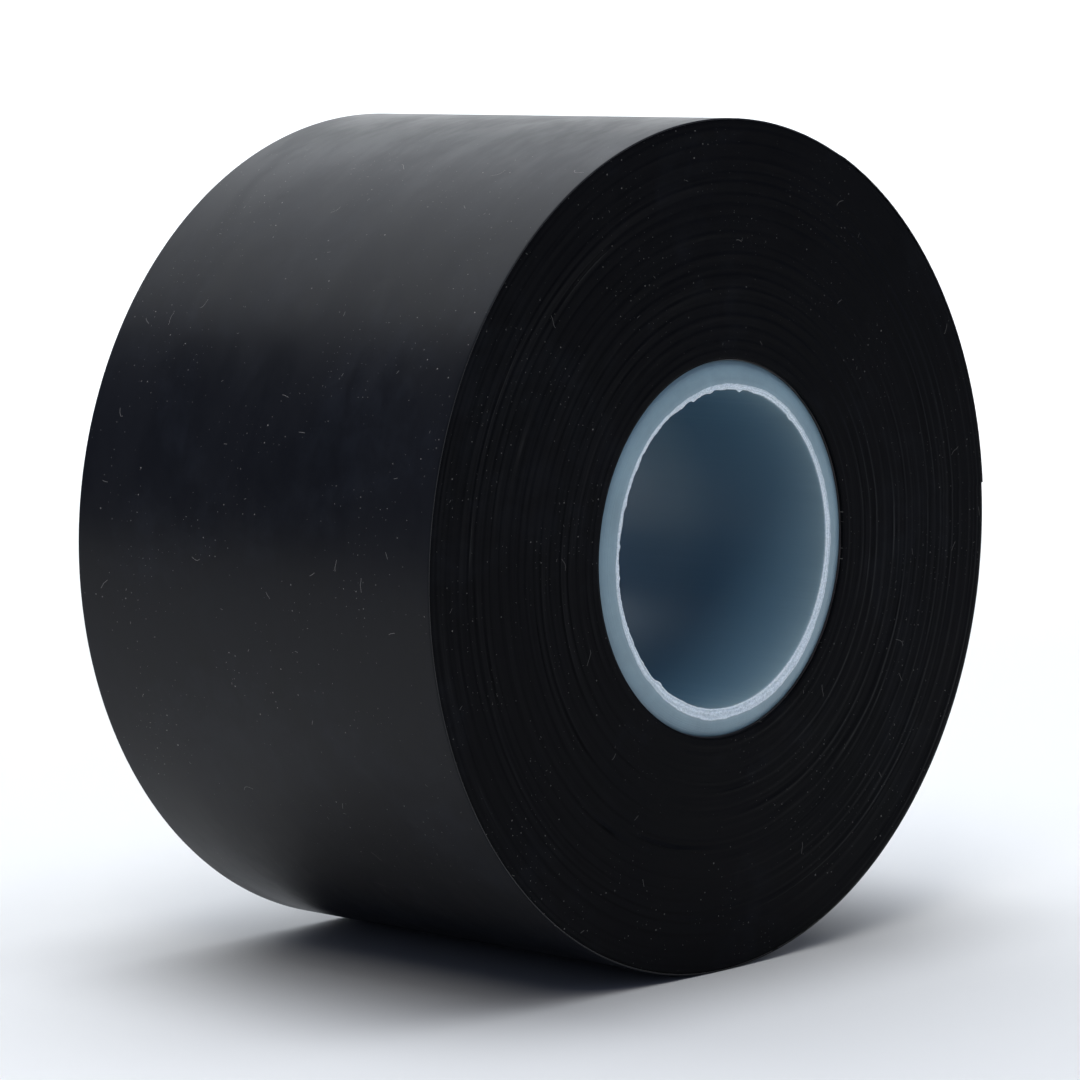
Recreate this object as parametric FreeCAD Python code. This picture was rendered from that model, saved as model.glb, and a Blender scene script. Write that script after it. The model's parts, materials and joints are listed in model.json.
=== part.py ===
"""A 50 mm x 33 m roll of black PVC insulating tape on a plastic core.

Frame: the roll stands on its tread, +Z up, its axis along Y, with the origin at the middle of the core's bore.
Angles are measured about Y in the XZ plane, from +X towards +Z. Every length is in millimetres.

The strip is wound as a spiral: each turn ends one thickness further out than it began. Only the turns that do
something of their own are separate: the first, which bonds the strip to the core, and the last, whose free end
peels. The turns between them lie adhesive to film with no gap, and are one block.
The free end bends anywhere when it peels, so it is cut into short staves that hinge on one another.
"""

import FreeCAD, Part
import math
import os

# The strip.
TAPE_WIDTH = 50.0
TAPE_LENGTH = 33000.0
FILM_THICKNESS = 0.12
ADHESIVE_THICKNESS = 0.03

# The core, cut to length with the strip by a round knife that tears its way out through the bore's edge.
CORE_BORE_RADIUS = 16.5
CORE_WALL = 3.0
TORN_RIM_WIDTH = 0.9  # the rough ring that the knife leaves round the mouth of the bore
KNIFE_BEVEL_DROP = 0.5  # how far the cut face falls back from the rim to the core's outer edge
KNIFE_BEVEL_CROWN = 0.13  # how far the bevel bulges past a straight line

# The free end, which hangs down the +X side of the roll.
END_ANGLE = 5.0  # where the strip ends, degrees
STAVE_ANGLE = 7.5  # what each stave of the free end covers, degrees
STAVES = 8
FREE_END_LIFT = 0.08  # a free end that has been peeled before lies this far off the turn under it

TAPE_THICKNESS = FILM_THICKNESS + ADHESIVE_THICKNESS
CORE_RADIUS = CORE_BORE_RADIUS + CORE_WALL
# A strip keeps its side area when it is wound, and that area is the ring between the core and the tread.
ROLL_RADIUS = math.sqrt(CORE_RADIUS**2 + TAPE_LENGTH * TAPE_THICKNESS / math.pi)
PEEL_ANGLE = END_ANGLE + STAVES * STAVE_ANGLE
FACE = TAPE_WIDTH / 2.0

# One turn of the spiral is four quarter circles, whose centres are the corners of a small square.
QUARTER = 90.0
CENTRE_STEP = TAPE_THICKNESS / 4.0


def direction(angle):
    """The unit vector at an angle about Y, from +X towards +Z."""
    a = math.radians(angle)
    return FreeCAD.Vector(math.cos(a), 0.0, math.sin(a))


def quarter_centre(quarter):
    """The centre of one of the spiral's quarters, counted from the strip's end."""
    centre = (direction(END_ANGLE + QUARTER) + direction(END_ANGLE + 2 * QUARTER)) * (-CENTRE_STEP / 2.0)
    for k in range(1, quarter + 1):
        centre += direction(END_ANGLE + k * QUARTER) * CENTRE_STEP
    return centre


def spiral_point(angle, depth, quarter):
    """A point of the last turn, at a depth below the tread, on one of the turn's quarters."""
    radius = ROLL_RADIUS - depth - quarter * CENTRE_STEP
    return quarter_centre(quarter) + direction(angle) * radius


def spiral_arcs(start, stop, depth):
    """The last turn's quarter circles from one angle up to another, at a depth below the tread."""
    arcs = []
    for quarter in range(4):
        low = max(start, END_ANGLE + quarter * QUARTER)
        high = min(stop, END_ANGLE + (quarter + 1) * QUARTER)
        if low < high:
            ends = [spiral_point(a, depth, quarter) for a in (low, (low + high) / 2.0, high)]
            arcs.append(Part.Arc(*ends).toShape())
    return arcs


def edge_ends(edges):
    """The first and the last point of a chain of edges that run one way."""
    return edges[0].valueAt(edges[0].FirstParameter), edges[-1].valueAt(edges[-1].LastParameter)


def across_the_width(outline, hole=None):
    """The solid of a section in the XZ plane, as wide as the strip and centred on it."""
    section = Part.makeFace([outline] + ([hole] if hole else []), "Part::FaceMakerBullseye")
    section.translate(FreeCAD.Vector(0, -FACE, 0))
    return section.extrude(FreeCAD.Vector(0, TAPE_WIDTH, 0))


def circle(radius):
    """A circle about the roll's axis, as a wire."""
    return Part.Wire(Part.Circle(FreeCAD.Vector(), FreeCAD.Vector(0, 1, 0), radius).toShape())


def layer(start, stop, top, bottom):
    """One layer of the last turn between two angles and two depths below the tread."""
    outer = spiral_arcs(start, stop, top)
    inner = spiral_arcs(start, stop, bottom)
    (outer_first, outer_last), (inner_first, inner_last) = edge_ends(outer), edge_ends(inner)
    sides = [
        Part.LineSegment(outer_first, inner_first).toShape(),
        Part.LineSegment(outer_last, inner_last).toShape(),
    ]
    return across_the_width(Part.Wire(Part.__sortEdges__(outer + inner + sides)))


def core():
    """The plastic tube: a straight bore, a torn rim round each mouth and a crowned knife bevel outside it."""
    rim = CORE_BORE_RADIUS + TORN_RIM_WIDTH
    edge = FACE - KNIFE_BEVEL_DROP
    middle_radius = (rim + CORE_RADIUS) / 2.0
    middle_height = (FACE + edge) / 2.0 + KNIFE_BEVEL_CROWN

    def at(radius, height):
        return FreeCAD.Vector(radius, height, 0)

    def bevel(end):
        """The bevel's arc at one end of the core: end is 1 or -1."""
        points = [at(rim, end * FACE), at(middle_radius, end * middle_height), at(CORE_RADIUS, end * edge)]
        return Part.Arc(*points).toShape()

    edges = [
        Part.LineSegment(at(CORE_BORE_RADIUS, -FACE), at(CORE_BORE_RADIUS, FACE)).toShape(),
        Part.LineSegment(at(CORE_BORE_RADIUS, FACE), at(rim, FACE)).toShape(),
        bevel(1),
        Part.LineSegment(at(CORE_RADIUS, edge), at(CORE_RADIUS, -edge)).toShape(),
        bevel(-1),
        Part.LineSegment(at(rim, -FACE), at(CORE_BORE_RADIUS, -FACE)).toShape(),
    ]
    section = Part.Face(Part.Wire(Part.__sortEdges__(edges)))
    return section.revolve(FreeCAD.Vector(), FreeCAD.Vector(0, 1, 0), 360)


def first_turn():
    """The turn that holds the roll on its core: its adhesive, then its film."""
    film_starts = CORE_RADIUS + ADHESIVE_THICKNESS
    return {
        "first_turn_adhesive": across_the_width(circle(film_starts), circle(CORE_RADIUS)),
        "first_turn_film": across_the_width(circle(CORE_RADIUS + TAPE_THICKNESS), circle(film_starts)),
    }


def wound_turns():
    """The turns between the first and the last. The tread under the last turn steps down where the strip ends."""
    tread = spiral_arcs(END_ANGLE, END_ANGLE + 360.0, TAPE_THICKNESS)
    first, last = edge_ends(tread)
    outline = Part.Wire(Part.__sortEdges__([*tread, Part.LineSegment(last, first).toShape()]))
    return {"wound_turns": across_the_width(outline, circle(CORE_RADIUS + TAPE_THICKNESS))}


def last_turn():
    """The part of the last turn that stays stuck down, from the peel line round to the step under the end."""
    stop = END_ANGLE + 360.0
    return {
        "last_turn_film": layer(PEEL_ANGLE, stop, 0.0, FILM_THICKNESS),
        "last_turn_adhesive": layer(PEEL_ANGLE, stop, FILM_THICKNESS, TAPE_THICKNESS),
    }


def stave_angles(number):
    """Where a stave ends and where it hinges, in degrees. The staves count from the peel line to the end."""
    hinge = PEEL_ANGLE - (number - 1) * STAVE_ANGLE
    return hinge - STAVE_ANGLE, hinge


def stave_hinge(number):
    """The middle of a stave's hinge line, which lies in the outer face of the film, so that its gap opens inwards."""
    return spiral_point(stave_angles(number)[1], -FREE_END_LIFT, 0)


def free_end():
    """The staves of the free end, each a piece of film with its adhesive under it."""
    made = {}
    outside, between, inside = (depth - FREE_END_LIFT for depth in (0.0, FILM_THICKNESS, TAPE_THICKNESS))
    for number in range(1, STAVES + 1):
        start, stop = stave_angles(number)
        made[f"free_end_film_{number}"] = layer(start, stop, outside, between)
        made[f"free_end_adhesive_{number}"] = layer(start, stop, between, inside)
    return made


def roll():
    """Every piece of the roll by its node's name."""
    return {"core": core(), **first_turn(), **wound_turns(), **last_turn(), **free_end()}


def main():
    os.makedirs("parts", exist_ok=True)
    turns = (ROLL_RADIUS - CORE_RADIUS) / TAPE_THICKNESS
    print(f"roll diameter {2 * ROLL_RADIUS:.2f}, {turns:.1f} turns")
    for number in range(1, STAVES + 1):
        hinge = stave_hinge(number)
        print(f"hinge {number}: x {hinge.x:.4f}, z {hinge.z:.4f}")
    for name, shape in roll().items():
        solid = shape.Solids[0]
        print(f"{name}: valid {solid.isValid()}, {solid.Volume:.3f} mm3")
        solid.exportStep(f"parts/{name}.step")


if __name__ == "__main__":
    main()
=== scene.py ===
"""The looks of a roll of black insulating tape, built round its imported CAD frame.

Lengths in the code are in millimetres, and turn into metres when a mesh is made. Angles about the roll's axis
run from +X towards +Z. Depth is measured inwards from the spiral of the tread.
"""

import json
import math

import bpy
import numpy as np
from bpy.props import FloatProperty, FloatVectorProperty, IntProperty, PointerProperty
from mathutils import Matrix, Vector

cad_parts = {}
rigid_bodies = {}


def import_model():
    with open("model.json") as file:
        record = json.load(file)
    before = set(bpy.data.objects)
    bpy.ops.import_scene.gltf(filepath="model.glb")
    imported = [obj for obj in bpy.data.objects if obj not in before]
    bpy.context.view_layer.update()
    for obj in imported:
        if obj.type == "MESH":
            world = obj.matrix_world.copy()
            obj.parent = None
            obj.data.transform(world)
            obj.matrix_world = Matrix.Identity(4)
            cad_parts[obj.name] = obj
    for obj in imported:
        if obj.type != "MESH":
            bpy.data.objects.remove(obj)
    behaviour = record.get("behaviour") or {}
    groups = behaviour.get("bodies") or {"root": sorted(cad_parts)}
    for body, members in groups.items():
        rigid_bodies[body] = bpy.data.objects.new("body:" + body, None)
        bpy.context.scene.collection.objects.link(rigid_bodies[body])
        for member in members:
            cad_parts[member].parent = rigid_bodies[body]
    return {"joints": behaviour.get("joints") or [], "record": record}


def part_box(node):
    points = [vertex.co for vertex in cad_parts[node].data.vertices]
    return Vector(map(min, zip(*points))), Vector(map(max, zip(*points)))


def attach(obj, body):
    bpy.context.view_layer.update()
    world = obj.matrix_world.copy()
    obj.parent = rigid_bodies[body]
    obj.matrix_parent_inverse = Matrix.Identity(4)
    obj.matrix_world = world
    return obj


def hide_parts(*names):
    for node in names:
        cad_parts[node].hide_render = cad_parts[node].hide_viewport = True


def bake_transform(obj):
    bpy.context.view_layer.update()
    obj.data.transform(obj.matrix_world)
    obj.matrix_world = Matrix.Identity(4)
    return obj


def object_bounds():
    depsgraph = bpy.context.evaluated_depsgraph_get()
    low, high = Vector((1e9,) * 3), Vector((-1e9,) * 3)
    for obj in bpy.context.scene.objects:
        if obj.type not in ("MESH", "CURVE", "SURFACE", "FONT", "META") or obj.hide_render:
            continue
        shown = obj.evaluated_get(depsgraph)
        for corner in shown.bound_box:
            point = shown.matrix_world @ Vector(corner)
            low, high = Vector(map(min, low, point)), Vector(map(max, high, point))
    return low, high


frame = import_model()
CAD_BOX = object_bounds()

bl_info = {
    "name": "Insulating tape roll",
    "version": (1, 0, 0),
    "blender": (4, 5, 0),
    "location": "3D View > Sidebar > Tape roll",
    "description": "Builds a roll of insulating tape on its core, with a free end that peels",
    "category": "Mesh",
}

# ---------------------------------------------------------------------------------------------------------
# What the frame says, in millimetres and degrees

PER_METRE = 1000.0
JOINTS = frame["joints"]
ROOT = JOINTS[0]["parent"]
BORE = next(m for m in frame["record"]["mounts"] if m["name"] == "bore")
BORE_RADIUS = BORE["dims"]["r_mm"]
CORE_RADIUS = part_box("core")[1].z * PER_METRE
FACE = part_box("wound_turns")[1].y * PER_METRE
ADHESIVE = (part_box("first_turn_adhesive")[1].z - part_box("core")[1].z) * PER_METRE
TAPE = (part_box("first_turn_film")[1].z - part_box("core")[1].z) * PER_METRE
FILM = TAPE - ADHESIVE
HINGES = [Vector(j["pos_m"]) for j in JOINTS]
HINGE_ANGLES = [math.degrees(math.atan2(h.z, h.x)) for h in HINGES]
STAVE = HINGE_ANGLES[0] - HINGE_ANGLES[1]
PEEL_ANGLE = HINGE_ANGLES[0]
END_ANGLE = HINGE_ANGLES[-1] - STAVE
FULL_TURN = 360.0
LIFT = 0.08  # a free end that was peeled before lies this far off the turn under it
LIFT_RAMP = 2.5  # degrees over which the strip rises to that
ROLL_RADIUS = HINGES[0].length * PER_METRE - LIFT + TAPE * (PEEL_ANGLE - END_ANGLE) / FULL_TURN


def spiral_radius(angles, depth):
    """The radius of the last turn at angles from its end, in degrees, and a depth below the tread."""
    return ROLL_RADIUS - TAPE * (angles - END_ANGLE) / FULL_TURN - depth


# ---------------------------------------------------------------------------------------------------------
# The cut end's shape, and what is painted or tuned for looks, in millimetres where nothing else is said

BEVEL_SLOPE = 0.06  # how far the cut end falls from its rim in a straight line
BEVEL_CURVE = 0.44  # and how much further by its rounding
# Painted shades on the core, from 0 to 1, and the millimetres over which each comes in.
CUT_EDGE_SHADE = 0.35
CUT_EDGE_WIDTH = 1.6
WALL_SHADE_DEPTH = 3.2
# How strongly the film mirrors. Both are far below the 0.5 or so that such a plastic has, and are set to look
# right under this stage's lights.
TREAD_MIRROR = 0.138
SIDE_MIRROR = 0.027
# The painted shadow under the roll, a darker patch of floor: how much of the floor's colour is left there,
# and where its edge begins and ends, in metres along X and along Y.
PAINTED_SHADOW_LEFT = 0.45
PAINTED_SHADOW_X = (0.020, 0.060)
PAINTED_SHADOW_Y = (0.015, 0.045)


# ---------------------------------------------------------------------------------------------------------
# Noise that repeats round the roll, and mesh making


def smooth(t):
    """The smooth step of t, held to 0 and 1."""
    t = np.clip(t, 0.0, 1.0)
    return t * t * (3 - 2 * t)


def lattice(u, v, across, along, seed):
    """Smooth noise in -1 to 1. u in 0 to 1 repeats after across cells, and v in 0 to 1 spans along cells."""
    values = np.random.default_rng(seed).uniform(-1, 1, (across, along + 2))
    gu, gv = np.asarray(u) * across, np.clip(v, 0, 1) * along
    iu, iv = np.floor(gu).astype(int), np.floor(gv).astype(int)
    fu, fv = smooth(gu - iu), smooth(gv - iv)
    near = values[iu % across, iv] * (1 - fu) + values[(iu + 1) % across, iv] * fu
    far = values[iu % across, iv + 1] * (1 - fu) + values[(iu + 1) % across, iv + 1] * fu
    return near * (1 - fv) + far * fv


def make_piece(name, points, quads, skin, material, marks=None, sharp=40.0):
    """A mesh object from points in millimetres. skin is a flat place on the surface for its patterns, and
    marks are named values at the points that its material uses."""
    mesh = bpy.data.meshes.new(name)
    mesh.from_pydata((points / PER_METRE).tolist(), [], quads.tolist())
    at = mesh.attributes.new("skin", "FLOAT_VECTOR", "POINT")
    at.data.foreach_set("vector", np.asarray(skin, np.float32).ravel())
    for key, values in (marks or {}).items():
        at = mesh.attributes.new(key, "FLOAT", "POINT")
        at.data.foreach_set("value", np.asarray(values, np.float32).ravel())
    mesh.materials.append(material)
    mesh.shade_smooth()
    mesh.set_sharp_from_angle(angle=math.radians(sharp))
    mesh.update()
    piece = bpy.data.objects.new(name, mesh)
    bpy.context.scene.collection.objects.link(piece)
    return piece


def grid_quads(rows, columns, close_rows=False, close_columns=False, flip=False):
    """The quads of a grid of points numbered row by row."""
    i = np.arange(rows if close_rows else rows - 1)
    j = np.arange(columns if close_columns else columns - 1)
    a, b = np.meshgrid(i, j, indexing="ij")
    a2, b2 = (a + 1) % rows, (b + 1) % columns
    quads = np.stack(
        [a * columns + b, a * columns + b2, a2 * columns + b2, a2 * columns + b], -1
    ).reshape(-1, 4)
    return quads[:, ::-1] if flip else quads


def on_roll(radius, angles, y):
    """Points at a radius and an angle in degrees about the roll's axis, and a place along it."""
    a = np.radians(angles)
    radius, a, y = np.broadcast_arrays(radius, a, y)
    return np.stack([radius * np.cos(a), y, radius * np.sin(a)], -1)


# ---------------------------------------------------------------------------------------------------------
# Materials


def new_material(name):
    material = bpy.data.materials.new(name)
    material.use_nodes = True
    tree = material.node_tree
    tree.nodes.clear()
    out = tree.nodes.new("ShaderNodeOutputMaterial")
    shader = tree.nodes.new("ShaderNodeBsdfPrincipled")
    tree.links.new(shader.outputs[0], out.inputs[0])
    return material, tree, shader


def node(tree, kind, **values):
    """A node with its properties and, by name or number, its inputs set or linked."""
    made = tree.nodes.new("ShaderNode" + kind)
    inputs = values.pop("inputs", {})
    for key, value in values.items():
        setattr(made, key, value)
    for key, value in inputs.items():
        socket = made.inputs[key]
        if isinstance(value, bpy.types.NodeSocket):
            tree.links.new(value, socket)
        else:
            socket.default_value = value
    return made


def math_node(tree, operation, *values, clamp=False):
    made = node(tree, "Math", operation=operation, use_clamp=clamp, inputs=dict(enumerate(values)))
    return made.outputs[0]


def ramp(tree, value, low, high, start=0.0, end=1.0):
    """value from low to high becomes start to end, smoothly."""
    made = node(
        tree,
        "MapRange",
        interpolation_type="SMOOTHSTEP",
        inputs={"Value": value, "From Min": low, "From Max": high, "To Min": start, "To Max": end},
    )
    return made.outputs[0]


def mix_colour(tree, amount, one, other):
    made = node(tree, "Mix", data_type="RGBA", inputs={"Factor": amount})
    for socket, value in ((made.inputs[6], one), (made.inputs[7], other)):
        if isinstance(value, bpy.types.NodeSocket):
            tree.links.new(value, socket)
        else:
            socket.default_value = value
    return made.outputs[2]


def new_group(name, inputs, outputs):
    """A shader node group. inputs and outputs are (name, socket type, default) rows."""
    group = bpy.data.node_groups.new(name, "ShaderNodeTree")
    for side, rows in (("INPUT", inputs), ("OUTPUT", outputs)):
        for title, kind, default in rows:
            socket = group.interface.new_socket(title, in_out=side, socket_type="NodeSocket" + kind)
            if default is not None:
                socket.default_value = default
    return group, group.nodes.new("NodeGroupInput").outputs, group.nodes.new("NodeGroupOutput").inputs


def use_group(tree, name, **inputs):
    made = tree.nodes.new("ShaderNodeGroup")
    made.node_tree = bpy.data.node_groups[name]
    for key, value in inputs.items():
        socket = made.inputs[key.replace("_", " ")]
        if isinstance(value, bpy.types.NodeSocket):
            tree.links.new(value, socket)
        else:
            socket.default_value = value
    return made.outputs


def dust_group():
    """Dust: grains and short bent fibres scattered over a flat place on the surface, in millimetres."""
    group, given, result = new_group(
        "dust",
        [
            ("Place", "Vector", None),
            ("Grain Spacing", "Float", 1.4),
            ("Grain Share", "Float", 0.5),
            ("Fibre Spacing", "Float", 7.0),
            ("Fibre Share", "Float", 0.5),
            ("Patchiness", "Float", 0.5),
        ],
        [("Mask", "Float", None)],
    )
    t = group
    place = given["Place"]
    patches = node(t, "TexNoise", inputs={"Vector": place, "Scale": 0.09, "Detail": 2.0}).outputs[0]
    patch = ramp(t, patches, 0.42, 0.62, 0.0, 1.0)
    patch = math_node(
        t, "ADD", math_node(t, "MULTIPLY", patch, given["Patchiness"]),
        math_node(t, "SUBTRACT", 1.0, given["Patchiness"])
    )

    def scattered(spacing, seed):
        moved = node(
            t, "VectorMath", operation="ADD", inputs={0: place, 1: (seed, seed * 1.7, 0.0)}
        ).outputs[0]
        over = math_node(t, "DIVIDE", 1.0, spacing)
        cells = node(
            t, "TexVoronoi", voronoi_dimensions="2D",
            inputs={"Vector": moved, "Scale": over, "Randomness": 1.0}
        )
        return moved, over, cells

    # Grains: a small soft dot in some of the cells, larger in a few.
    _, _, cells = scattered(given["Grain Spacing"], 3.1)
    parts = node(t, "SeparateColor", inputs={0: cells.outputs["Color"]}).outputs
    size = math_node(t, "ADD", 0.032, math_node(t, "MULTIPLY", math_node(t, "POWER", parts[1], 6.0), 0.05))
    size = math_node(t, "DIVIDE", size, given["Grain Spacing"])
    rough = node(t, "TexNoise", inputs={"Vector": place, "Scale": 14.0, "Detail": 1.0}).outputs[0]
    edge = math_node(t, "MULTIPLY", size, math_node(t, "ADD", 0.55, rough))
    dot = math_node(t, "LESS_THAN", cells.outputs["Distance"], edge)
    chosen = math_node(t, "LESS_THAN", parts[0], math_node(t, "MULTIPLY", given["Grain Share"], patch))
    strength = math_node(t, "ADD", 0.25, math_node(t, "MULTIPLY", math_node(t, "POWER", parts[2], 2.0), 0.75))
    grains = math_node(t, "MULTIPLY", math_node(t, "MULTIPLY", dot, chosen), strength)

    # Fibres: a thin arc across some of the larger cells, each turned and bent its own way.
    moved, over, cells = scattered(given["Fibre Spacing"], 11.7)
    parts = node(t, "SeparateColor", inputs={0: cells.outputs["Color"]}).outputs
    centre = node(
        t, "VectorMath", operation="SUBTRACT", inputs={0: moved, 1: cells.outputs["Position"]}
    ).outputs[0]
    turned = node(
        t, "VectorRotate", rotation_type="Z_AXIS", inputs={
            "Vector": centre, "Angle": math_node(t, "MULTIPLY", parts[0], 6.283)
        }
    ).outputs[0]
    xyz = node(t, "SeparateXYZ", inputs={0: turned}).outputs
    bend = math_node(t, "MULTIPLY", math_node(t, "SUBTRACT", parts[1], 0.35), 0.9)
    square = math_node(t, "MULTIPLY", xyz[0], xyz[0])
    kink = node(
        t, "TexNoise", noise_dimensions="1D",
        inputs={
            "W": math_node(t, "ADD", xyz[0], math_node(t, "MULTIPLY", parts[2], 40.0)), "Scale": 0.7,
            "Detail": 0.0
        }
    ).outputs[0]
    line = math_node(
        t, "ADD", math_node(t, "MULTIPLY", square, bend),
        math_node(t, "MULTIPLY", math_node(t, "SUBTRACT", kink, 0.5), 0.5)
    )
    off = math_node(t, "ABSOLUTE", math_node(t, "SUBTRACT", xyz[1], line))
    slope = math_node(
        t, "SQRT",
        math_node(
            t, "ADD", 1.0,
            math_node(
                t, "POWER", math_node(t, "MULTIPLY", math_node(t, "MULTIPLY", xyz[0], bend), 2.0), 2.0
            )
        )
    )
    thin = math_node(t, "LESS_THAN", off, math_node(t, "MULTIPLY", slope, 0.021))
    reach = math_node(t, "ADD", 0.12, math_node(t, "MULTIPLY", math_node(t, "POWER", parts[2], 3.0), 0.7))
    short = math_node(t, "LESS_THAN", math_node(t, "ABSOLUTE", xyz[0]), reach)
    chosen = math_node(t, "LESS_THAN", parts[1], math_node(t, "MULTIPLY", given["Fibre Share"], patch))
    fibres = math_node(
        t, "MULTIPLY", math_node(t, "MULTIPLY", thin, short), math_node(t, "MULTIPLY", chosen, 0.7)
    )
    t.links.new(math_node(t, "MAXIMUM", grains, fibres, clamp=True), result["Mask"])


def smudge_group():
    """Smudges: large soft mottling with finer blots in it, as handling leaves on a satin face."""
    group, given, result = new_group(
        "smudges",
        [("Place", "Vector", None), ("Size", "Float", 9.0), ("Stretch", "Float", 1.0)],
        [("Value", "Float", None)],
    )
    t = group
    xyz = node(t, "SeparateXYZ", inputs={0: given["Place"]}).outputs
    stretched = node(
        t, "CombineXYZ", inputs={0: math_node(t, "DIVIDE", xyz[0], given["Stretch"]), 1: xyz[1], 2: xyz[2]}
    ).outputs[0]
    scale = math_node(t, "DIVIDE", 1.0, given["Size"])
    large = node(
        t, "TexNoise",
        inputs={"Vector": stretched, "Scale": scale, "Detail": 3.0, "Roughness": 0.55, "Distortion": 0.6}
    ).outputs[0]
    fine = node(
        t, "TexNoise",
        inputs={"Vector": stretched, "Scale": math_node(t, "MULTIPLY", scale, 7.0), "Detail": 2.0}
    ).outputs[0]
    both = math_node(t, "ADD", math_node(t, "MULTIPLY", large, 0.75), math_node(t, "MULTIPLY", fine, 0.25))
    t.links.new(ramp(t, both, 0.3, 0.7), result["Value"])


def film_material(name, colours, tread):
    """Black film: satin with rolled streaks on the tread, and matt with knife lines on the slit edges."""
    material, t, shader = new_material(name)
    place = node(t, "Attribute", attribute_name="skin").outputs["Vector"]
    smudges = use_group(
        t, "smudges", Place=place, Size=8.0 if tread else 12.0, Stretch=2.2 if tread else 1.0
    )["Value"]
    dust = use_group(
        t, "dust", Place=place, Grain_Spacing=0.9 if tread else 0.7, Grain_Share=0.40 if tread else 0.38,
        Fibre_Spacing=3.4, Fibre_Share=0.30, Patchiness=0.92,
    )["Mask"]
    film = colours.film if tread else colours.edge
    base = tuple(film) + (1.0,)
    bright = tuple(c * 1.9 for c in film) + (1.0,)
    colour = mix_colour(t, math_node(t, "MULTIPLY", smudges, 0.5), base, bright)
    haze = use_group(t, "smudges", Place=place, Size=3.2, Stretch=1.4)["Value"]
    patches = use_group(t, "smudges", Place=place, Size=19.0, Stretch=1.0)["Value"]
    haze = math_node(t, "MULTIPLY", haze, ramp(t, patches, 0.45, 0.9))
    colour = mix_colour(
        t, math_node(t, "MULTIPLY", haze, 0.035 if tread else 0.02), colour, tuple(colours.haze) + (1.0,)
    )
    colour = mix_colour(
        t, math_node(t, "MULTIPLY", dust, 0.8 if tread else 0.55), colour, tuple(colours.dust) + (1.0,)
    )
    t.links.new(colour, shader.inputs["Base Color"])
    xyz = node(t, "SeparateXYZ", inputs={0: place}).outputs
    if tread:
        # Streaks along the strip, from the calender's rolls.
        across = node(
            t, "CombineXYZ",
            inputs={0: math_node(t, "MULTIPLY", xyz[0], 0.03), 1: math_node(t, "MULTIPLY", xyz[1], 2.2)}
        ).outputs[0]
        streaks = node(t, "TexNoise", inputs={"Vector": across, "Scale": 1.0, "Detail": 3.0}).outputs[0]
        grain = node(
            t, "TexNoise", inputs={"Vector": place, "Scale": 6.0, "Detail": 3.0, "Roughness": 0.6}
        ).outputs[0]
        rough = math_node(
            t, "ADD", ramp(t, smudges, 0.0, 1.0, 0.29, 0.37),
            math_node(t, "MULTIPLY", math_node(t, "SUBTRACT", streaks, 0.5), 0.02)
        )
        rough = math_node(t, "ADD", rough, math_node(t, "MULTIPLY", dust, 0.4), clamp=True)
        height = math_node(
            t, "ADD", math_node(t, "MULTIPLY", streaks, 0.12), math_node(t, "MULTIPLY", grain, 0.5)
        )
        strength, distance = 0.16, 0.00003
        shader.inputs["Specular IOR Level"].default_value = TREAD_MIRROR
    else:
        # Every turn's edge is a fine line, because the slitting knife drags each one a little.
        radius = math_node(
            t, "SQRT",
            math_node(
                t, "ADD", math_node(t, "MULTIPLY", xyz[0], xyz[0]), math_node(t, "MULTIPLY", xyz[1], xyz[1])
            )
        )
        wander = node(t, "TexNoise", inputs={"Vector": place, "Scale": 0.12, "Detail": 2.0}).outputs[0]
        lines = node(
            t, "TexNoise", noise_dimensions="1D",
            inputs={
                "W": math_node(t, "ADD", radius, math_node(t, "MULTIPLY", wander, 0.8)), "Scale": 3.2,
                "Detail": 4.0, "Roughness": 0.7
            },
        ).outputs[0]
        grain = node(
            t, "TexNoise", inputs={"Vector": place, "Scale": 9.0, "Detail": 3.0, "Roughness": 0.6}
        ).outputs[0]
        rough = math_node(
            t, "ADD", ramp(t, smudges, 0.0, 1.0, 0.36, 0.50), math_node(t, "MULTIPLY", dust, 0.3),
            clamp=True
        )
        blots = node(
            t, "TexNoise", inputs={"Vector": place, "Scale": 0.9, "Detail": 3.0, "Roughness": 0.55}
        ).outputs[0]
        height = math_node(
            t, "ADD", math_node(t, "MULTIPLY", lines, 0.30), math_node(t, "MULTIPLY", grain, 0.35)
        )
        height = math_node(t, "ADD", height, math_node(t, "MULTIPLY", blots, 0.9))
        strength, distance = 0.16, 0.00005
        shader.inputs["Specular IOR Level"].default_value = SIDE_MIRROR
    t.links.new(rough, shader.inputs["Roughness"])
    height = math_node(t, "ADD", height, math_node(t, "MULTIPLY", dust, 0.6))
    bump = node(t, "Bump", inputs={"Strength": strength, "Distance": distance, "Height": height})
    t.links.new(bump.outputs[0], shader.inputs["Normal"])
    return material


def adhesive_material(colours):
    """Tacky adhesive, drawn into fine ribs where the strip was pulled off."""
    material, t, shader = new_material("tacky adhesive")
    place = node(t, "Attribute", attribute_name="skin").outputs["Vector"]
    smudges = use_group(t, "smudges", Place=place, Size=5.0, Stretch=0.4)["Value"]
    base = tuple(colours.adhesive) + (1.0,)
    colour = mix_colour(t, smudges, base, tuple(c * 1.6 for c in colours.adhesive) + (1.0,))
    t.links.new(colour, shader.inputs["Base Color"])
    t.links.new(ramp(t, smudges, 0.0, 1.0, 0.24, 0.34), shader.inputs["Roughness"])
    xyz = node(t, "SeparateXYZ", inputs={0: place}).outputs
    across = node(t, "CombineXYZ", inputs={0: xyz[0], 1: math_node(t, "MULTIPLY", xyz[1], 0.12)}).outputs[0]
    ribs = node(
        t, "TexNoise", inputs={"Vector": across, "Scale": 2.4, "Detail": 3.0, "Distortion": 0.4}
    ).outputs[0]
    bump = node(t, "Bump", inputs={"Strength": 0.5, "Distance": 0.00008, "Height": ribs})
    t.links.new(bump.outputs[0], shader.inputs["Normal"])
    return material


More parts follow.
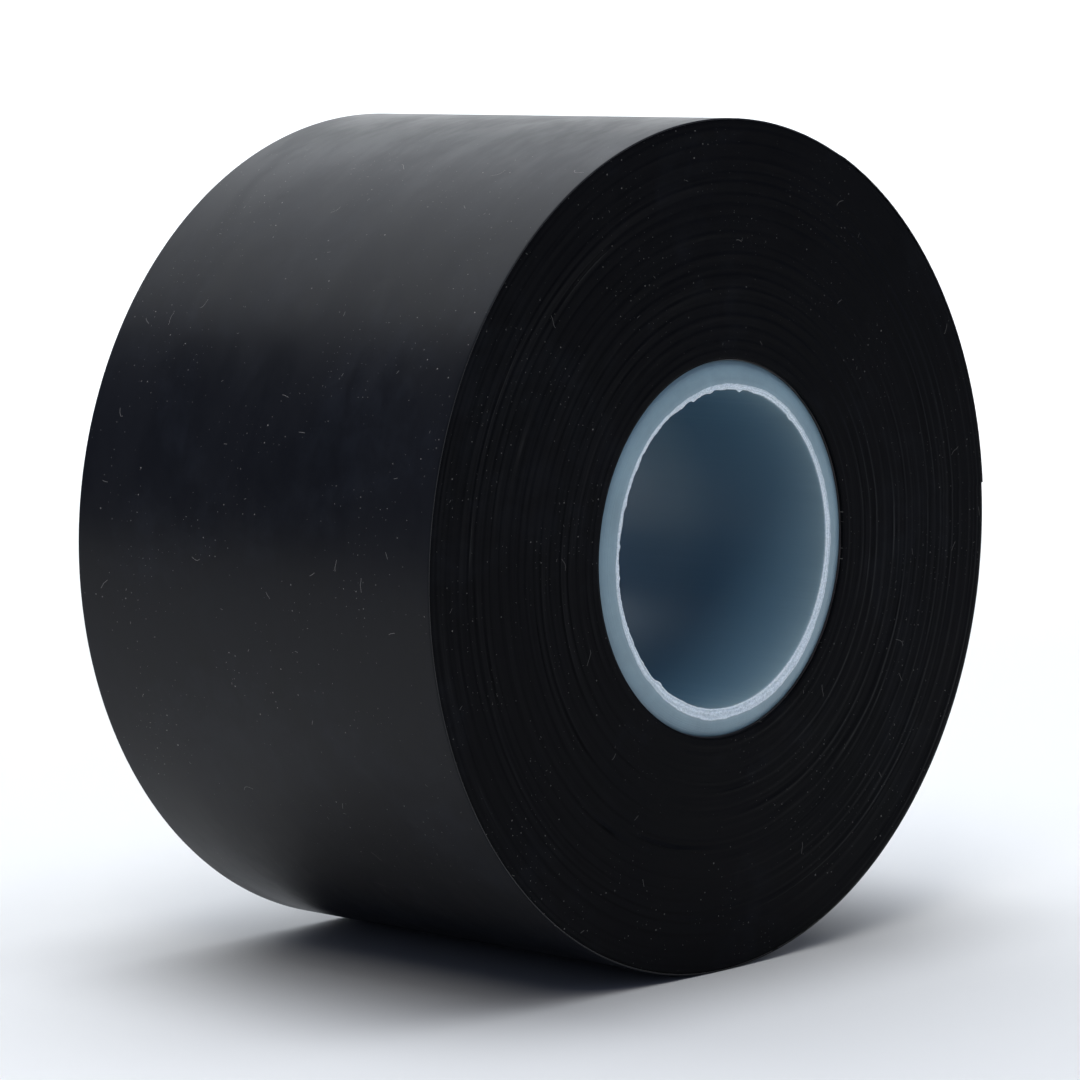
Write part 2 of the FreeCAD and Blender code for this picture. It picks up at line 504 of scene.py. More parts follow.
def core_material(colours):
    """Natural extruded plastic, slightly translucent, and frosted white where the knife tore it."""
    material, t, shader = new_material("natural core plastic")
    place = node(t, "Attribute", attribute_name="skin").outputs["Vector"]
    tear = node(t, "Attribute", attribute_name="tear").outputs["Fac"]
    xyz = node(t, "SeparateXYZ", inputs={0: place}).outputs
    smudges = use_group(t, "smudges", Place=place, Size=6.0, Stretch=1.0)["Value"]
    dust = use_group(
        t, "dust", Place=place, Grain_Spacing=2.6, Grain_Share=0.3, Fibre_Spacing=9.0, Fibre_Share=0.3,
        Patchiness=0.6,
    )["Mask"]
    base = tuple(colours.core) + (1.0,)
    dark = tuple(c * 0.86 for c in colours.core) + (1.0,)
    colour = mix_colour(t, smudges, dark, base)
    # deep carries the painted shades: the wall darkens towards the bore colour with depth, and the cut end
    # along its outside.
    deep = node(t, "Attribute", attribute_name="deep").outputs["Fac"]
    colour = mix_colour(t, deep, colour, tuple(colours.bore) + (1.0,))
    crumbs = node(
        t, "TexNoise", inputs={"Vector": place, "Scale": 5.0, "Detail": 4.0, "Roughness": 0.7}
    ).outputs[0]
    frost = math_node(t, "MULTIPLY", tear, ramp(t, crumbs, 0.3, 0.6, 0.45, 1.0), clamp=True)
    colour = mix_colour(t, frost, colour, tuple(colours.frost) + (1.0,))
    colour = mix_colour(t, math_node(t, "MULTIPLY", dust, 0.5), colour, tuple(colours.dust) + (1.0,))
    t.links.new(colour, shader.inputs["Base Color"])
    rough = math_node(
        t, "ADD", ramp(t, smudges, 0.0, 1.0, 0.34, 0.42), math_node(t, "MULTIPLY", frost, 0.25), clamp=True
    )
    t.links.new(rough, shader.inputs["Roughness"])
    shader.inputs["Subsurface Weight"].default_value = 0.35
    shader.inputs["Subsurface Radius"].default_value = (0.8, 1.0, 1.25)
    shader.inputs["Subsurface Scale"].default_value = 0.0012
    # Fine circles from the knife on the cut face, and fine draw lines along the bore.
    circles = node(
        t, "TexNoise", noise_dimensions="1D",
        inputs={"W": xyz[2], "Scale": 7.0, "Detail": 3.0, "Roughness": 0.7}
    ).outputs[0]
    height = math_node(
        t, "ADD", math_node(t, "MULTIPLY", circles, 1.1),
        math_node(t, "MULTIPLY", math_node(t, "MULTIPLY", crumbs, tear), 2.0)
    )
    bump = node(t, "Bump", inputs={"Strength": 0.35, "Distance": 0.00005, "Height": height})
    t.links.new(bump.outputs[0], shader.inputs["Normal"])
    return material


def floor_material(colours):
    material, t, shader = new_material("pale floor")
    place = node(t, "TexCoord").outputs["Object"]
    mottle = node(t, "TexNoise", inputs={"Vector": place, "Scale": 3.0, "Detail": 3.0}).outputs[0]
    floor = tuple(colours.floor) + (1.0,)
    colour = mix_colour(t, mottle, floor, tuple(c * 0.985 for c in colours.floor) + (1.0,))
    # A painted shadow, a darker patch under the roll, deepens its contact shadow, so that the tread's
    # underside mirrors less of the pale floor. It belongs to the stage, and isn't a shadow that the lights
    # cast.
    xyz = node(t, "SeparateXYZ", inputs={0: place}).outputs
    along = ramp(t, math_node(t, "ABSOLUTE", xyz[0]), *PAINTED_SHADOW_X, 1.0, 0.0)
    across = ramp(t, math_node(t, "ABSOLUTE", xyz[1]), *PAINTED_SHADOW_Y, 1.0, 0.0)
    colour = mix_colour(
        t, math_node(t, "MULTIPLY", along, across), colour,
        tuple(c * PAINTED_SHADOW_LEFT for c in colours.floor) + (1.0,),
    )
    t.links.new(colour, shader.inputs["Base Color"])
    shader.inputs["Roughness"].default_value = 0.8
    shader.inputs["Specular IOR Level"].default_value = 0.2
    return material


# ---------------------------------------------------------------------------------------------------------
# The pieces


def side_relief(turns, angles, seed):
    """How far each turn's edge stands off the side face, turns by angles, and how far each turn wanders."""
    around = angles / FULL_TURN
    rng = np.random.default_rng(seed)
    share = turns / turns.max()
    # The winder shifts the strip now and then: the edges creep out over a few turns, and then fall back.
    step_at = np.cumsum(rng.integers(6, 11, 60))
    creep = np.zeros(len(turns))
    for start, stop in zip(np.r_[0, step_at[:-1]], step_at):
        inside = (turns >= start) & (turns < stop)
        creep[inside] = (turns[inside] - start) / (stop - start) * rng.uniform(0.35, 0.9)
    creep = np.convolve(creep, (0.2, 0.6, 0.2), "same")
    jitter = rng.uniform(-1, 1, len(turns))
    u, v = np.meshgrid(around, share)
    slow = lattice(u, v, 7, 9, seed + 1)
    fade = np.clip(
        0.75 + 0.45 * lattice(u, v, 11, 40, seed + 2) + 0.3 * lattice(u, v, 37, 40, seed + 5), 0.1, 1.3
    )
    stand = creep[:, None] * 0.036 * fade + jitter[:, None] * 0.0012 + slow * 0.010
    lumps = lattice(u, v, 9, 5, seed + 3) * 0.5 + lattice(
        u, v, 17, 12, seed + 4
    ) * 0.4 + lattice(u, v, 41, 24, seed + 6) * 0.2
    wander = lumps * 0.20 * smooth(share * 4)[:, None] * smooth((1 - share) * 12)[:, None]
    return stand, wander


def build_pack(materials, sizes):
    """The turns between the first and the last: both side faces turn by turn, the tread under the last
    turn, and the hole that the first turn fills."""
    columns = sizes.side_columns
    angles = END_ANGLE + 0.02 + np.arange(columns) * FULL_TURN / columns
    inner = CORE_RADIUS + TAPE
    count = int(round((ROLL_RADIUS - inner) / TAPE)) - 1
    turns = np.arange(count)
    outer = spiral_radius(angles, TAPE)
    # Each turn has two rings of points, close to its inner and its outer face.
    place = np.stack([turns + 0.07, turns + 0.93], 1).ravel() / count
    ring_turn = np.repeat(turns, 2)
    sides = []
    for end, seed in ((-1, 11), (1, 47)):
        stand, wander = side_relief(turns, angles, seed)
        radius = inner + (outer - inner)[None, :] * place[:, None] + wander[ring_turn]
        fall = 0.07 * smooth((place - 0.975) / 0.025) ** 2
        y = end * (FACE - 0.03 + stand[ring_turn] - fall[:, None])
        sides.append(on_roll(radius, angles[None, :], y))
    low, high = sides
    edge = np.stack([on_roll(outer - 0.01, angles, end * (FACE - 0.15)) for end in (-1, 1)])
    bottom = np.stack(
        [on_roll(np.full(columns, inner + 0.004), angles, end * (FACE - 0.05)) for end in (-1, 1)]
    )
    rings = np.concatenate([bottom[:1], low, edge, high[::-1], bottom[1:]])
    points = rings.reshape(-1, 3)
    quads = grid_quads(len(rings), columns, close_rows=True, close_columns=True)
    skin = np.stack([rings[..., 0], rings[..., 2], np.zeros(rings.shape[:2])], -1)
    near_tread = 1 + len(low)
    for ring in (near_tread, near_tread + 1):
        skin[ring, :, 0], skin[ring, :, 1] = np.radians(angles) * ROLL_RADIUS, rings[ring, :, 1]
    piece = make_piece("wound_tape", points, quads, skin.reshape(-1, 3), materials["side"], sharp=180.0)
    piece.data.materials.append(materials["tread"])
    slots = np.zeros(len(quads), np.int32)
    slots[near_tread * columns:(near_tread + 1) * columns] = 1
    piece.data.polygons.foreach_set("material_index", slots)
    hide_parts("wound_turns")
    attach(piece, ROOT)
    return piece


def lift_at(angles):
    """How far the strip has risen off the turn under it at an angle, in millimetres."""
    return LIFT * smooth((PEEL_ANGLE + LIFT_RAMP / 2 - angles) / LIFT_RAMP)


def tread_relief(angles, y):
    """The film's unevenness over the tread, in millimetres, for a grid of angles by places along the axis."""
    u, v = np.meshgrid(angles / FULL_TURN % 1.0, (y + FACE) / (2 * FACE), indexing="ij")
    waves = lattice(u, v, 13, 3, 71) * 0.004 + lattice(u, v, 41, 7, 72) * 0.0006
    bands = lattice(u, v, 4, 28, 73) * 0.0012
    relief = waves + bands
    for angle, place, size, depth in (
        (140.0, -9.0, 0.45, 0.03), (126.0, 13.0, 0.35, 0.025), (167.0, 4.0, 0.6, 0.02),
        (215.0, -15.0, 0.5, 0.03), (20.0, 8.0, 0.5, 0.02)
    ):
        gap = np.hypot((angles - angle)[:, None] * math.radians(ROLL_RADIUS), (y - place)[None, :])
        relief = relief - depth * np.exp(-((gap / size) ** 2))
    return relief


def build_layer(name, start, stop, top, bottom, step, material, jag=None):
    """A closed piece of one layer of the last turn, from one angle to another and one depth to another."""
    count = max(2, int(round((stop - start) / step)) + 1)
    angles = np.linspace(start, stop, count)
    edge = [0.0, 0.012, 0.05, 0.12, 0.3]
    if top == 0.0:
        inside = np.linspace(0.8, 2 * FACE - 0.8, 76)
    else:
        inside = np.linspace(1.0, 2 * FACE - 1.0, 4)
    y = np.concatenate([edge, inside, [2 * FACE - e for e in reversed(edge)]]) - FACE
    lift = lift_at(angles)
    relief = tread_relief(angles, y) if top == 0.0 else np.zeros((count, len(y)))
    near = np.minimum(y + FACE, FACE - y)
    rounding = 0.030 * np.exp(-near / 0.05) if top == 0.0 else np.zeros(len(y))
    outer = spiral_radius(angles, top)[:, None] + lift[:, None] + relief - rounding[None, :]
    inner = spiral_radius(angles, bottom)[:, None] + lift[:, None] + np.zeros(len(y))
    # The slit edge isn't quite straight.
    u = angles / FULL_TURN % 1.0
    weave = 0.015 * lattice(u, np.full(count, 0.3), 9, 2, 81) + 0.004 * lattice(
        u, np.full(count, 0.6), 120, 2, 82
    )
    inset = 0.03
    shift = np.clip(1 - near / 0.4, 0, 1)
    ys = y[None, :] + (np.sign(-y) * shift)[None, :] * (inset - weave[:, None])
    bend = np.zeros((count, len(y)))
    if jag is not None:
        reach = np.clip(1 - (angles - start) / 1.2, 0, 1)
        bend = reach[:, None] * jag(y)[None, :]
    top_points = on_roll(outer, angles[:, None] + bend, ys)
    low_points = on_roll(inner, angles[:, None] + bend, ys)
    profile = np.concatenate([top_points, low_points[:, ::-1]], 1)
    columns = profile.shape[1]
    points = profile.reshape(-1, 3)
    quads = grid_quads(count, columns, close_columns=True, flip=True)
    width = len(y)
    caps = []
    for row, turned in ((0, True), (count - 1, False)):
        base = row * columns
        for j in range(width - 1):
            q = [base + j, base + j + 1, base + columns - 2 - j, base + columns - 1 - j]
            caps.append(q[::-1] if turned else q)
    quads = np.concatenate([quads, np.array(caps)])
    along = np.radians(angles)[:, None] * ROLL_RADIUS + np.zeros((1, columns))
    across = np.concatenate([ys, ys[:, ::-1]], 1)
    skin = np.stack([along, across, np.zeros_like(along)], -1).reshape(-1, 3)
    return make_piece(name, points, quads, skin, material)


def build_last_turn(materials, sizes):
    """The film and the adhesive of the last turn, as far as they stay stuck down."""
    stop = END_ANGLE + FULL_TURN
    film = build_layer(
        "last_turn_film_skin", PEEL_ANGLE, stop, 0.0, FILM, sizes.tread_step, materials["tread"]
    )
    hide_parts("last_turn_film")
    tack = build_layer(
        "last_turn_tack", PEEL_ANGLE, stop, FILM, TAPE, sizes.tread_step, materials["adhesive"]
    )
    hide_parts("last_turn_adhesive")
    for piece in (film, tack):
        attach(piece, ROOT)


def cut_edge(y):
    """How far the strip's cut end strays from straight, in degrees, across its width."""
    v = (y + FACE) / (2 * FACE)
    return 0.10 * lattice(np.zeros_like(v), v, 3, 6, 91) + 0.03 * lattice(np.zeros_like(v), v, 3, 40, 92)


def build_free_end(materials, sizes):
    """The strip's free end. Each piece spans one hinge and meets the next in the middle of a stave."""
    for number, (joint, angle) in enumerate(zip(JOINTS, HINGE_ANGLES), 1):
        first, last = number == 1, number == len(JOINTS)
        stop = angle if first else angle + STAVE / 2
        start = angle - STAVE if last else angle - STAVE / 2
        reach = min(STAVE / 2, stop - start)
        ends = [
            on_roll(ROLL_RADIUS, a, 0.0) / PER_METRE for a in (
                angle if first else angle + reach, angle - reach
            )
        ]
        for kind, top, bottom in (("film", 0.0, FILM), ("adhesive", FILM, TAPE)):
            surface = materials["tread" if kind == "film" else "adhesive"]
            piece = build_layer(
                f"free_end_{kind}_bend_{number}", start, stop, top, bottom, sizes.free_step, surface,
                jag=cut_edge if last else None,
            )
            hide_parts(f"free_end_{kind}_{number}")
            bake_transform(piece)


def build_first_turn(materials, sizes):
    """The first turn's film and the bead of adhesive that it squeezes out against the core."""
    columns = sizes.side_columns
    angles = np.arange(columns) * FULL_TURN / columns
    u = angles / FULL_TURN
    flat = np.full(columns, 0.5)
    swell = 0.5 + 0.5 * lattice(u, flat, 60, 2, 31)
    film_low, film_high = CORE_RADIUS + ADHESIVE, CORE_RADIUS + TAPE
    tall = FACE - 0.03 + 0.01 * lattice(u, flat, 14, 2, 33)
    bead = FACE - 0.40 + 0.08 * swell
    made = (
        ("first_turn_film_edge", "first_turn_film", "side", "tape_film",
         [(film_low + 0.03, -tall + 0.01), (film_high - 0.02, -tall), (film_high - 0.004, -tall + 0.05),
          (film_high - 0.004, tall - 0.05), (film_high - 0.02, tall), (film_low + 0.03, tall - 0.01)]),
        ("first_turn_adhesive_bead", "first_turn_adhesive", "bead", "adhesive",
         [(CORE_RADIUS + 0.002, -bead + 0.12), (CORE_RADIUS - 0.01, -bead + 0.02), (CORE_RADIUS + 0.02, -bead),
          (film_low + 0.045, -bead + 0.015), (film_low, -bead + 0.12), (film_low, bead - 0.12),
          (film_low + 0.045, bead - 0.015), (CORE_RADIUS + 0.02, bead), (CORE_RADIUS - 0.01, bead - 0.02),
          (CORE_RADIUS + 0.002, bead - 0.12)]),
    )
    for name, stands_for, material, slot, profile in made:
        rings = np.stack([on_roll(np.full(columns, r), angles, y + np.zeros(columns)) for r, y in profile])
        points = rings.reshape(-1, 3)
        quads = grid_quads(len(rings), columns, close_rows=True, close_columns=True)
        skin = np.stack([points[:, 0], points[:, 2], np.zeros(len(points))], -1)
        piece = make_piece(name, points, quads, skin, materials[material], sharp=60.0)
        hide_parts(stands_for)
        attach(piece, ROOT)


def torn_rim(u, seed):
    """The rough ring round one mouth of the bore: rows of radius, height off the bevel's top and tear,
    from its outside in."""
    rows = 26
    share = np.linspace(0, 1, rows)[:, None] + np.zeros((1, len(u)))
    around = u[None, :] + np.zeros((rows, 1))
    flat = np.zeros_like(u)
    # Widest at the bottom and thinnest at the -X side.
    angle = 2 * math.pi * u
    width = 0.80 + 0.12 * np.cos(angle) - 0.26 * np.sin(angle) - 0.12 * np.cos(2 * angle)
    width = width * (1 + 0.12 * lattice(u, flat, 13, 2, seed) + 0.09 * lattice(u, flat, 47, 2, seed + 1))
    width = width + 0.035 * lattice(u, flat, 160, 2, seed + 9) + 0.02 * lattice(u, flat, 480, 2, seed + 10)
    ragged = 0.10 * lattice(u, flat, 29, 2, seed + 2) + 0.07 * lattice(u, flat, 97, 2, seed + 3)
    ragged = ragged + 0.05 * lattice(u, flat, 310, 2, seed + 11)
    jagged = smooth(0.5 + 0.9 * np.cos(angle - math.radians(145.0)))
    notches = np.maximum(0, lattice(u, flat, 70, 2, seed + 4) - 0.45)
    mouth = BORE_RADIUS + 0.04 + ragged * (0.35 + 0.7 * jagged) - 0.6 * notches * (0.10 + jagged)
    outside = BORE_RADIUS + width
    radius = outside[None, :] + (mouth - outside)[None, :] * share
    # Strands run round the ring, and part and join.
    drift = share * 1.9 + 0.45 * lattice(
        around, share, 11, 2, seed + 5
    ) + 0.18 * lattice(around, share, 60, 3, seed + 6)
    strands = 0.5 + 0.5 * np.cos(2 * math.pi * drift)
    crumbs = lattice(around, share, 260, 6, seed + 7) * 0.5 + lattice(around, share, 640, 11, seed + 8) * 0.5
    hump = np.clip(share * 9, 0, 1) * np.clip((1 - share) * 14, 0, 1) ** 0.7
    height = (0.030 + 0.030 * strands + 0.022 * crumbs) * hump * (0.6 + 0.5 * width)[None, :]
    doubled = smooth(0.5 + 0.8 * np.cos(2 * (2 * math.pi * around - math.radians(35.0))))
    tear = np.clip(0.80 + (0.15 + 0.35 * doubled) * (strands - 0.4) + 0.22 * crumbs, 0, 1) * smooth(share * 9)
    return radius, height, tear


def build_core(materials, sizes):
    """The core: its bore, both cut ends with their knife bevels and torn rims, and its outside."""
    columns = sizes.core_columns
    u = np.arange(columns) / columns
    angles = u * FULL_TURN
    flat = np.zeros(columns)
    halves = []
    for end, seed in ((-1, 201), (1, 301)):
        radius, height, tear = torn_rim(u, seed)
        rim_outside = radius[0]
        top = FACE - 0.02
        rows = []  # radius, distance along the axis from the middle, tear
        rows.append((CORE_RADIUS + flat, FACE - 3.0 + flat, flat))
        rows.append((CORE_RADIUS + flat, FACE - 0.78 + flat, flat))
        rows.append((CORE_RADIUS - 0.01 + flat, FACE - 0.64 + flat, flat))
        for s in np.linspace(0, 1, 26):
            # A crowned bevel that rises inwards, with shallow circles left by the knife's edge.
            r = CORE_RADIUS - 0.06 + (rim_outside - CORE_RADIUS + 0.06) * s
            circles = 0.0022 * math.sin(s * 47.0) + 0.0015 * math.sin(s * 101.0 + 1.0)
            y = top - BEVEL_SLOPE * (1 - s) - BEVEL_CURVE * (1 - s) ** 2.0
            y = y + circles + 0.006 * lattice(u, flat + s, 9, 4, seed + 20)
            rows.append((r, y, flat + 0.10 * max(0, s - 0.8) * 5))
        for i in range(1, len(radius)):
            rows.append((radius[i], top + height[i], tear[i]))
        mouth = radius[-1]
        for depth, ease in ((0.04, 0.75), (0.12, 0.35), (0.25, 0.12), (0.5, 0.03)):
            rows.append((BORE_RADIUS + (mouth - BORE_RADIUS) * ease, top - depth + flat, flat + 0.55 * ease))
        for depth in (1.0, 2.0, 3.5, 5.0, 7.0, 9.0, 11.0, 15.0, 20.0):
            wave = 0.0012 * lattice(u, flat, 23, 2, 401) + 0.004 * lattice(u, flat, 9, 2, 402)
            rows.append((BORE_RADIUS + wave, top - depth + flat, flat))
        halves.append((end, rows))
    rings, tears, painted_shades, places = [], [], [], []
    for (end, rows), backwards in zip(halves, (False, True)):
        run = rows[::-1] if backwards else rows
        for r, y, tear in run:
            rings.append(on_roll(r, angles, end * y))
            tears.append(tear + flat)
            on_cut = np.mean(r) > BORE_RADIUS + 0.05
            # The wall's colour is painted darker with depth. It stands for light that enters at the cut end
            # and leaks into the black tape round the core, which the material itself doesn't work out. The
            # cut end is painted darker along its outside too, where black tape lies behind the plastic. It's
            # even all the way round, so that it doesn't stand for light from any one side.
            edge = CUT_EDGE_SHADE * smooth((r - CORE_RADIUS + CUT_EDGE_WIDTH) / CUT_EDGE_WIDTH)
            wall = (1 - np.exp((y - FACE) / WALL_SHADE_DEPTH)) * (1 - 0.45 * smooth((FACE - y - 14.0) / 10.0))
            painted_shades.append(edge if on_cut else wall)
            places.append(np.mean(r) + flat if on_cut else angles * 0.04)
    rings = np.stack(rings)
    points = rings.reshape(-1, 3)
    quads = grid_quads(len(rings), columns, close_rows=True, close_columns=True)
    skin = np.stack([points[:, 0], points[:, 2], np.concatenate(places)], -1)
    piece = make_piece(
        "core_tube", points, quads, skin, materials["core"], {"tear": tears, "deep": painted_shades}, sharp=180.0
    )
    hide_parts("core")
    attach(piece, ROOT)
    return piece


# ---------------------------------------------------------------------------------------------------------
# The stage


def area_light(name, place, target, size, size_y, power, colour, spread=180.0):
    light = bpy.data.lights.new(name, "AREA")
    light.shape = "RECTANGLE"
    light.size, light.size_y = size, size_y
    light.energy, light.color = power, colour
    light.spread = math.radians(spread)
    lamp = bpy.data.objects.new(name, light)
    lamp.location = place
    lamp.rotation_euler = (Vector(target) - Vector(place)).to_track_quat("-Z", "Y").to_euler()
    bpy.context.scene.collection.objects.link(lamp)
    return lamp


def build_floor(colours, studio):
    """A pale floor that curves up into a low backdrop behind the roll, as the camera sees it."""
    floor_z = CAD_BOX[0][2]
    azimuth = math.radians(studio.azimuth)
    away = Vector((-math.sin(azimuth), math.cos(azimuth), 0.0))
    side = Vector((away.y, -away.x, 0.0))
    bend, back, front, half, tall = 0.35, 1.3, -1.4, 1.3, 0.75
    section = [(front, 0.0), (0.0, 0.0), (back - bend, 0.0)]
    for k in range(1, 17):
        turn = math.pi / 2 * k / 16
        section.append((back - bend + bend * math.sin(turn), bend * (1 - math.cos(turn))))
    section.append((back, tall))
    points = [away * d + side * w + Vector((0, 0, floor_z + h)) for w in (-half, half) for d, h in section]
    n = len(section)
    mesh = bpy.data.meshes.new("floor")
    mesh.from_pydata([tuple(p) for p in points], [], [(k, k + 1, n + k + 1, n + k) for k in range(n - 1)])
    mesh.materials.append(floor_material(colours))
    mesh.shade_smooth()
    floor = bpy.data.objects.new("floor", mesh)
    bpy.context.scene.collection.objects.link(floor)


def build_stage(colours, studio):
    scene = bpy.context.scene
    scene.view_settings.view_transform = "Standard"
    build_floor(colours, studio)

    world = bpy.data.worlds.new("studio")
    scene.world = world
    world.use_nodes = True
    back = world.node_tree.nodes["Background"]
    back.inputs["Color"].default_value = tuple(studio.surround) + (1.0,)
    back.inputs["Strength"].default_value = studio.surround_strength

    tint = tuple(studio.overhead_colour)
    area_light("overhead box", (0.17, 0.40, 0.75), (0.17, 0.40, 0.0), 1.26, 1.8, studio.overhead_power, tint)
    area_light(
        "backdrop wash", (0.45, 0.42, 0.70), (0.96, 0.87, 0.10), 0.9, 0.3, studio.wash_power, tint, 150.0
    )
    area_light(
        "left key", (-0.80, -0.50, 1.00), (0, 0, 0), 0.45, 0.45, studio.key_power, tuple(studio.key_colour)
    )

    lens = bpy.data.cameras.new("camera")
    lens.lens = studio.lens
    lens.sensor_width = 36.0
    lens.clip_start, lens.clip_end = 0.01, 50.0
    eye = bpy.data.objects.new("camera", lens)
    azimuth, elevation = math.radians(studio.azimuth), math.radians(studio.elevation)
    back = Vector(
        (
            math.sin(azimuth) * math.cos(elevation), -math.cos(azimuth) * math.cos(elevation),
            math.sin(elevation)
        )
    )
    right = Vector((math.cos(azimuth), math.sin(azimuth), 0.0))
    up = back.cross(right)
    away = Vector(studio.offset)
    eye.location = (back * away.z - right * away.x + up * away.y) / PER_METRE
    eye.rotation_euler = back.to_track_quat("Z", "Y").to_euler()
    scene.collection.objects.link(eye)
    scene.camera = eye


# ---------------------------------------------------------------------------------------------------------
# The add-on


class TapeRollSizes(bpy.types.PropertyGroup):
    """How finely the pieces are cut"""

    side_columns: IntProperty(
        name="Side columns", description="Points round each side face", default=540, min=90, max=1440
    )
    core_columns: IntProperty(
        name="Core columns", description="Points round the core", default=1440, min=180, max=2880
    )
    tread_step: FloatProperty(
        name="Tread step", description="Degrees between points round the tread", default=0.5, min=0.1,
        max=5.0
    )
    free_step: FloatProperty(
        name="Free end step", description="Degrees between points along the free end", default=0.3, min=0.1,
        max=3.0
    )


def colour_property(name, description, default):
    return FloatVectorProperty(
        name=name, description=description, default=default, subtype="COLOR", min=0.0, max=1.0
    )


class TapeRollColours(bpy.types.PropertyGroup):
    """The colours of the roll and of the floor"""

    film: colour_property("Film", "The black film", (0.0034, 0.0037, 0.0050))
    edge: colour_property("Edge", "The film's slit edges", (0.0024, 0.0025, 0.0030))
    adhesive: colour_property("Adhesive", "The tacky side", (0.012, 0.011, 0.010))
    core: colour_property("Core", "The core's natural plastic", (0.222, 0.322, 0.366))
    # The bore colour is a painted shade, which the core's wall darkens towards deep in the bore.
    bore: colour_property("Bore", "The core's wall deep in the bore", (0.078, 0.158, 0.228))
    frost: colour_property("Frost", "The torn rim", (0.80, 0.875, 0.93))
    bead: colour_property("Bead", "Adhesive squeezed out at the core", (0.045, 0.038, 0.038))
    haze: colour_property("Haze", "Handling marks on the film", (0.10, 0.12, 0.16))
    dust: colour_property("Dust", "Dust and fibres", (0.32, 0.305, 0.29))
    floor: colour_property("Floor", "The floor", (0.84, 0.835, 0.815))


class TapeRollStudio(bpy.types.PropertyGroup):
    """The camera and the lights"""

    lens: FloatProperty(
        name="Lens", description="The camera's focal length in mm", default=149.806, min=20.0, max=400.0
    )
    azimuth: FloatProperty(
        name="Azimuth", description="Where the camera stands round the roll, in degrees", default=-47.677
    )
    elevation: FloatProperty(
        name="Elevation", description="How high the camera stands, in degrees", default=6.203
    )
    offset: FloatVectorProperty(
        name="Offset", description="The roll's place right of, below and away from the camera, in mm",
        default=(0.577, -0.878, 479.4), subtype="XYZ"
    )
    surround: colour_property("Surround", "The light from all round", (0.178, 0.212, 0.315))
    surround_strength: FloatProperty(
        name="Surround strength", description="How bright the surround is", default=1.0, min=0.0
    )
    overhead_colour: colour_property("Overhead colour", "The colour of the overhead box", (0.955, 0.985, 1.0))
    overhead_power: FloatProperty(
        name="Overhead power", description="The overhead box's power in watts", default=12.6, min=0.0
    )
    key_colour: colour_property("Key colour", "The colour of the left key", (1.0, 0.97, 0.92))
    key_power: FloatProperty(
        name="Key power", description="The left key's power in watts", default=4.4, min=0.0
    )
    wash_power: FloatProperty(
        name="Wash power", description="The backdrop wash's power in watts", default=3.9, min=0.0
    )


def settings():
    scene = bpy.context.scene
    return scene.tape_roll_sizes, scene.tape_roll_colours, scene.tape_roll_studio


def finishes():
    """The roll's materials by name. They are made once, with the node groups that they share."""
    _, colours, _ = settings()
    if "dust" not in bpy.data.node_groups:
        dust_group()
        smudge_group()
        film_material("satin film", colours, True)
        film_material("slit edges", colours, False)
        adhesive_material(colours)
        core_material(colours)
        _, tree, shader = new_material("squeezed adhesive")
        place = node(tree, "Attribute", attribute_name="skin").outputs["Vector"]
        mottle = use_group(tree, "smudges", Place=place, Size=3.0, Stretch=1.0)["Value"]
        pale = tuple(colours.bead) + (1.0,)
        tree.links.new(
            mix_colour(tree, mottle, tuple(c * 0.35 for c in colours.bead) + (1.0,), pale),
            shader.inputs["Base Color"]
        )
        tree.links.new(ramp(tree, mottle, 0.0, 1.0, 0.45, 0.3), shader.inputs["Roughness"])
    named = {
        "tread": "satin film", "side": "slit edges", "adhesive": "tacky adhesive",
        "core": "natural core plastic", "bead": "squeezed adhesive"
    }
    return {key: bpy.data.materials[name] for key, name in named.items()}


class TAPE_OT_core(bpy.types.Operator):
    """Build the core with its torn rims"""

    bl_idname = "tape_roll.core"
    bl_label = "Core"

    def execute(self, context):
        build_core(finishes(), settings()[0])
        return {"FINISHED"}


class TAPE_OT_first_turn(bpy.types.Operator):
    """Build the first turn's film and adhesive bead"""

    bl_idname = "tape_roll.first_turn"
    bl_label = "First turn"

    def execute(self, context):
        build_first_turn(finishes(), settings()[0])
        return {"FINISHED"}


class TAPE_OT_pack(bpy.types.Operator):
    """Build the wound turns with their stepped side faces"""

    bl_idname = "tape_roll.pack"
    bl_label = "Wound turns"

    def execute(self, context):
        build_pack(finishes(), settings()[0])
        return {"FINISHED"}


class TAPE_OT_last_turn(bpy.types.Operator):
    """Build the last turn's film and adhesive"""

    bl_idname = "tape_roll.last_turn"
    bl_label = "Last turn"

    def execute(self, context):
        build_last_turn(finishes(), settings()[0])
        return {"FINISHED"}


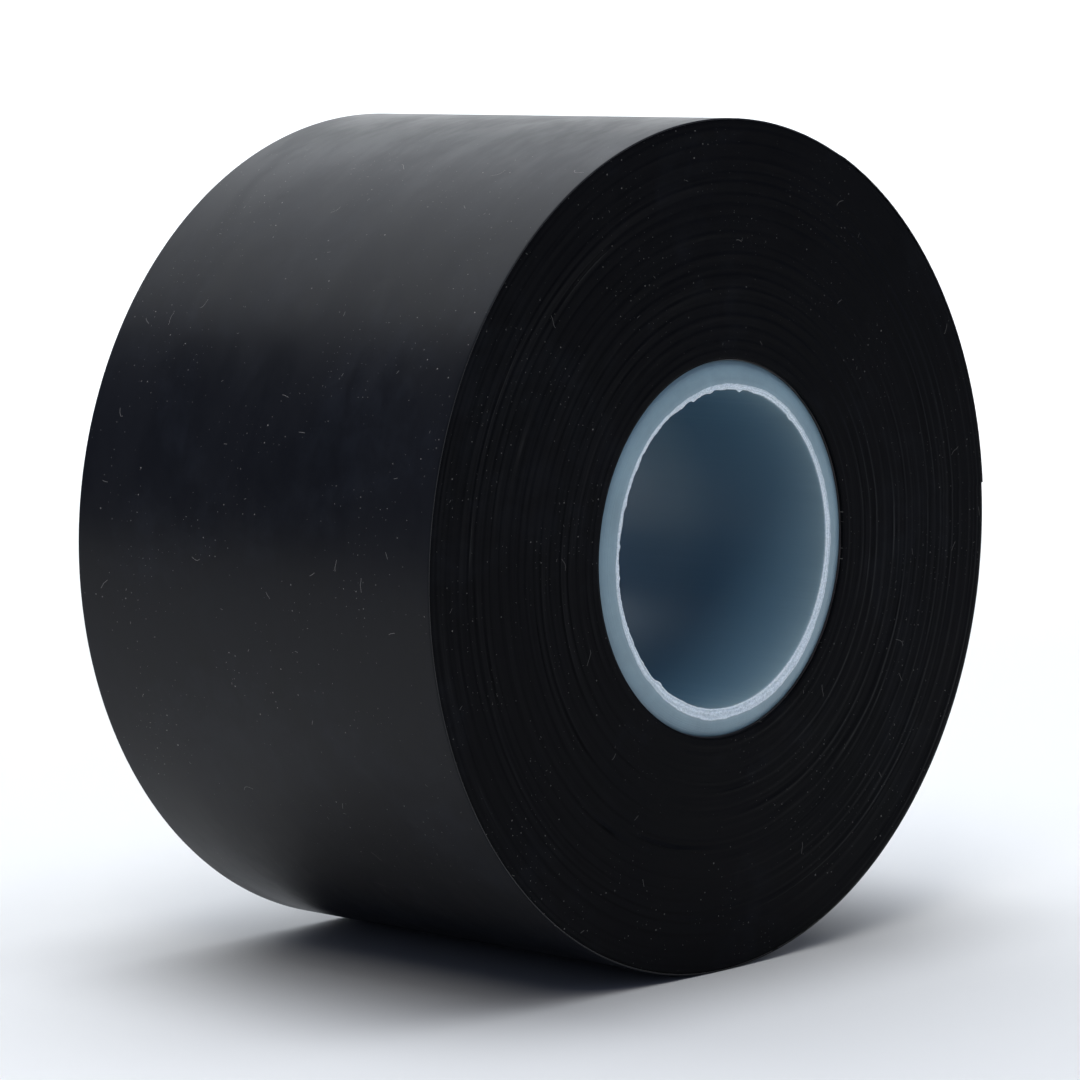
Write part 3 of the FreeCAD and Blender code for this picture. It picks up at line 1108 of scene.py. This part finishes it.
class TAPE_OT_free_end(bpy.types.Operator):
    """Build the free end, in pieces that each span one of its hinges"""

    bl_idname = "tape_roll.free_end"
    bl_label = "Free end"

    def execute(self, context):
        build_free_end(finishes(), settings()[0])
        return {"FINISHED"}


class TAPE_OT_stage(bpy.types.Operator):
    """Build the floor, the lights and the camera"""

    bl_idname = "tape_roll.stage"
    bl_label = "Stage"

    def execute(self, context):
        _, colours, studio = settings()
        build_stage(colours, studio)
        return {"FINISHED"}


OPERATORS = (
    TAPE_OT_core, TAPE_OT_first_turn, TAPE_OT_pack, TAPE_OT_last_turn, TAPE_OT_free_end, TAPE_OT_stage
)


class TAPE_PT_panel(bpy.types.Panel):
    """The roll's settings and the operators that build it"""

    bl_idname = "TAPE_PT_panel"
    bl_label = "Tape roll"
    bl_space_type = "VIEW_3D"
    bl_region_type = "UI"
    bl_category = "Tape roll"

    def draw(self, context):
        for operator in OPERATORS:
            self.layout.operator(operator.bl_idname)
        for group in settings():
            for key in group.bl_rna.properties.keys():
                if key not in ("rna_type", "name"):
                    self.layout.prop(group, key)


GROUPS = (TapeRollSizes, TapeRollColours, TapeRollStudio)


def register():
    for cls in (*GROUPS, *OPERATORS, TAPE_PT_panel):
        bpy.utils.register_class(cls)
    bpy.types.Scene.tape_roll_sizes = PointerProperty(type=TapeRollSizes)
    bpy.types.Scene.tape_roll_colours = PointerProperty(type=TapeRollColours)
    bpy.types.Scene.tape_roll_studio = PointerProperty(type=TapeRollStudio)


def unregister():
    del bpy.types.Scene.tape_roll_sizes
    del bpy.types.Scene.tape_roll_colours
    del bpy.types.Scene.tape_roll_studio
    for cls in reversed((*GROUPS, *OPERATORS, TAPE_PT_panel)):
        bpy.utils.unregister_class(cls)


def main():
    register()
    bpy.ops.tape_roll.core()
    bpy.ops.tape_roll.first_turn()
    bpy.ops.tape_roll.pack()
    bpy.ops.tape_roll.last_turn()
    bpy.ops.tape_roll.free_end()
    bpy.ops.tape_roll.stage()


if __name__ == "__main__":
    main()
